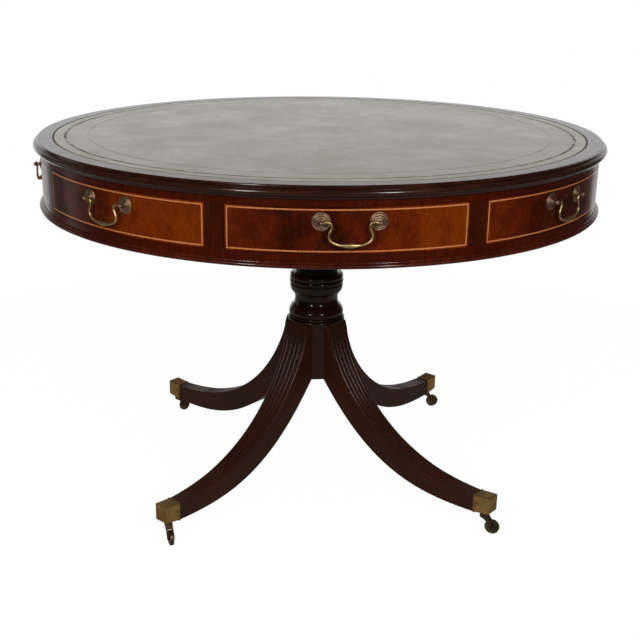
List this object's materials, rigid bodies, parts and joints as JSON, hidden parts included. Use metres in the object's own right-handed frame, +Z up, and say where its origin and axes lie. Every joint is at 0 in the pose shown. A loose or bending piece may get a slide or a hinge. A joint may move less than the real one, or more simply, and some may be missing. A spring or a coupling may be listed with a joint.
{
  "type": "drum table",
  "caption": "Round leather-topped drum table with a turning drawer frieze on a turned column and reeded sabre legs on castors.",
  "frame": {"origin": "on the floor under the middle of the column", "axes": "+Z up along the column, the front drawer facing -Y, the legs on the diagonals between X and Y"},
  "size_m": [1.1506, 1.1506, 0.762],
  "materials": {
    "column_mahogany": "dark french-polished mahogany",
    "leg_mahogany": "dark polished mahogany, reeded",
    "frieze_mahogany": "red-brown figured mahogany, polished",
    "stile_mahogany": "plain red-brown mahogany, polished",
    "rim_mahogany": "dark polished mahogany",
    "boxwood": "pale boxwood stringing",
    "top_leather": "dark tooled leather, worn",
    "cap_brass": "aged brass, dull polish",
    "castor_brass": "dark tarnished brass",
    "handle_brass": "aged brass",
    "screw_brass": "aged brass",
    "pivot_iron": "bare wrought iron",
    "drawer_oak": "oak drawer linings, waxed",
    "carcass_pine": "old pine, unfinished"
  },
  "bodies": {
    "pedestal": {"column": "column_mahogany", "leg_front_right": "leg_mahogany", "leg_back_right": "leg_mahogany", "leg_back_left": "leg_mahogany", "leg_front_left": "leg_mahogany", "caster_cap_front_right": "cap_brass", "caster_cap_back_right": "cap_brass", "caster_cap_back_left": "cap_brass", "caster_cap_front_left": "cap_brass", "cap_screws": "screw_brass", "top_bearer": "carcass_pine", "pivot_pin": "pivot_iron", "pivot_nut": "pivot_iron"},
    "drum": {"top_board": "carcass_pine", "top_rim": "rim_mahogany", "leather_inset": "top_leather", "frieze_top_rail": "stile_mahogany", "frieze_bottom_rail": "stile_mahogany", "frieze_stiles": "stile_mahogany", "bottom_board": "carcass_pine", "bottom_bead": "rim_mahogany", "dummy_fronts": "frieze_mahogany", "dummy_inlay": "boxwood", "dummy_handle_mounts": "handle_brass", "partition_long": "carcass_pine", "partition_cross": "carcass_pine", "pivot_block": "carcass_pine"},
    "drawer_front": {"drawer_front_front": "frieze_mahogany", "drawer_front_inlay": "boxwood", "drawer_front_box": "drawer_oak", "drawer_front_handle_mounts": "handle_brass"},
    "drawer_right": {"drawer_right_front": "frieze_mahogany", "drawer_right_inlay": "boxwood", "drawer_right_box": "drawer_oak", "drawer_right_handle_mounts": "handle_brass"},
    "drawer_back": {"drawer_back_front": "frieze_mahogany", "drawer_back_inlay": "boxwood", "drawer_back_box": "drawer_oak", "drawer_back_handle_mounts": "handle_brass"},
    "drawer_left": {"drawer_left_front": "frieze_mahogany", "drawer_left_inlay": "boxwood", "drawer_left_box": "drawer_oak", "drawer_left_handle_mounts": "handle_brass"},
    "handle_front": {"bail_front": "handle_brass"},
    "handle_right": {"bail_right": "handle_brass"},
    "handle_back": {"bail_back": "handle_brass"},
    "handle_left": {"bail_left": "handle_brass"},
    "handle_front_right": {"bail_front_right": "handle_brass"},
    "handle_back_right": {"bail_back_right": "handle_brass"},
    "handle_back_left": {"bail_back_left": "handle_brass"},
    "handle_front_left": {"bail_front_left": "handle_brass"},
    "fork_front_right": {"caster_fork_front_right": "castor_brass"},
    "wheel_front_right": {"caster_wheel_front_right": "castor_brass"},
    "fork_back_right": {"caster_fork_back_right": "castor_brass"},
    "wheel_back_right": {"caster_wheel_back_right": "castor_brass"},
    "fork_back_left": {"caster_fork_back_left": "castor_brass"},
    "wheel_back_left": {"caster_wheel_back_left": "castor_brass"},
    "fork_front_left": {"caster_fork_front_left": "castor_brass"},
    "wheel_front_left": {"caster_wheel_front_left": "castor_brass"}
  },
  "joints": [
    {"name": "top_turn", "type": "hinge", "parent": "pedestal", "child": "drum", "pos_m": [0, 0, 0.6268], "axis": [0, 0, 1], "continuous": true},
    {"name": "drawer_front_slide", "type": "slide", "parent": "drum", "child": "drawer_front", "axis": [0, -1, 0], "range_m": [0, 0.25]},
    {"name": "drawer_right_slide", "type": "slide", "parent": "drum", "child": "drawer_right", "axis": [1, 0, 0], "range_m": [0, 0.25]},
    {"name": "drawer_back_slide", "type": "slide", "parent": "drum", "child": "drawer_back", "axis": [0, 1, 0], "range_m": [0, 0.25]},
    {"name": "drawer_left_slide", "type": "slide", "parent": "drum", "child": "drawer_left", "axis": [-1, 0, 0], "range_m": [0, 0.25]},
    {"name": "handle_front_swing", "type": "hinge", "parent": "drawer_front", "child": "handle_front", "pos_m": [0, -0.57107, 0.7035], "axis": [-1, 0, 0], "range_deg": [-7, 150]},
    {"name": "handle_right_swing", "type": "hinge", "parent": "drawer_right", "child": "handle_right", "pos_m": [0.57107, 0, 0.7035], "axis": [0, -1, 0], "range_deg": [-7, 150]},
    {"name": "handle_back_swing", "type": "hinge", "parent": "drawer_back", "child": "handle_back", "pos_m": [0, 0.57107, 0.7035], "axis": [1, 0, 0], "range_deg": [-7, 150]},
    {"name": "handle_left_swing", "type": "hinge", "parent": "drawer_left", "child": "handle_left", "pos_m": [-0.57107, 0, 0.7035], "axis": [0, 1, 0], "range_deg": [-7, 150]},
    {"name": "handle_front_right_swing", "type": "hinge", "parent": "drum", "child": "handle_front_right", "pos_m": [0.40381, -0.40381, 0.7035], "axis": [-0.7071, -0.7071, 0], "range_deg": [-7, 150]},
    {"name": "handle_back_right_swing", "type": "hinge", "parent": "drum", "child": "handle_back_right", "pos_m": [0.40381, 0.40381, 0.7035], "axis": [0.7071, -0.7071, 0], "range_deg": [-7, 150]},
    {"name": "handle_back_left_swing", "type": "hinge", "parent": "drum", "child": "handle_back_left", "pos_m": [-0.40381, 0.40381, 0.7035], "axis": [0.7071, 0.7071, 0], "range_deg": [-7, 150]},
    {"name": "handle_front_left_swing", "type": "hinge", "parent": "drum", "child": "handle_front_left", "pos_m": [-0.40381, -0.40381, 0.7035], "axis": [-0.7071, 0.7071, 0], "range_deg": [-7, 150]},
    {"name": "castor_front_right_swivel", "type": "hinge", "parent": "pedestal", "child": "fork_front_right", "pos_m": [0.31643, -0.31643, 0.0446], "axis": [0, 0, 1], "continuous": true},
    {"name": "castor_front_right_roll", "type": "hinge", "parent": "fork_front_right", "child": "wheel_front_right", "pos_m": [0.33143, -0.32544, 0.015], "axis": [0.515, 0.8572, 0], "continuous": true},
    {"name": "castor_back_right_swivel", "type": "hinge", "parent": "pedestal", "child": "fork_back_right", "pos_m": [0.31643, 0.31643, 0.0446], "axis": [0, 0, 1], "continuous": true},
    {"name": "castor_back_right_roll", "type": "hinge", "parent": "fork_back_right", "child": "wheel_back_right", "pos_m": [0.33376, 0.31887, 0.015], "axis": [-0.1392, 0.9903, 0], "continuous": true},
    {"name": "castor_back_left_swivel", "type": "hinge", "parent": "pedestal", "child": "fork_back_left", "pos_m": [-0.31643, 0.31643, 0.0446], "axis": [0, 0, 1], "continuous": true},
    {"name": "castor_back_left_roll", "type": "hinge", "parent": "fork_back_left", "child": "wheel_back_left", "pos_m": [-0.30384, 0.32859, 0.015], "axis": [-0.6947, 0.7193, 0], "continuous": true},
    {"name": "castor_front_left_swivel", "type": "hinge", "parent": "pedestal", "child": "fork_front_left", "pos_m": [-0.31643, -0.31643, 0.0446], "axis": [0, 0, 1], "continuous": true},
    {"name": "castor_front_left_roll", "type": "hinge", "parent": "fork_front_left", "child": "wheel_front_left", "pos_m": [-0.31161, -0.33325, 0.015], "axis": [0.9613, 0.2756, 0], "continuous": true}
  ]
}
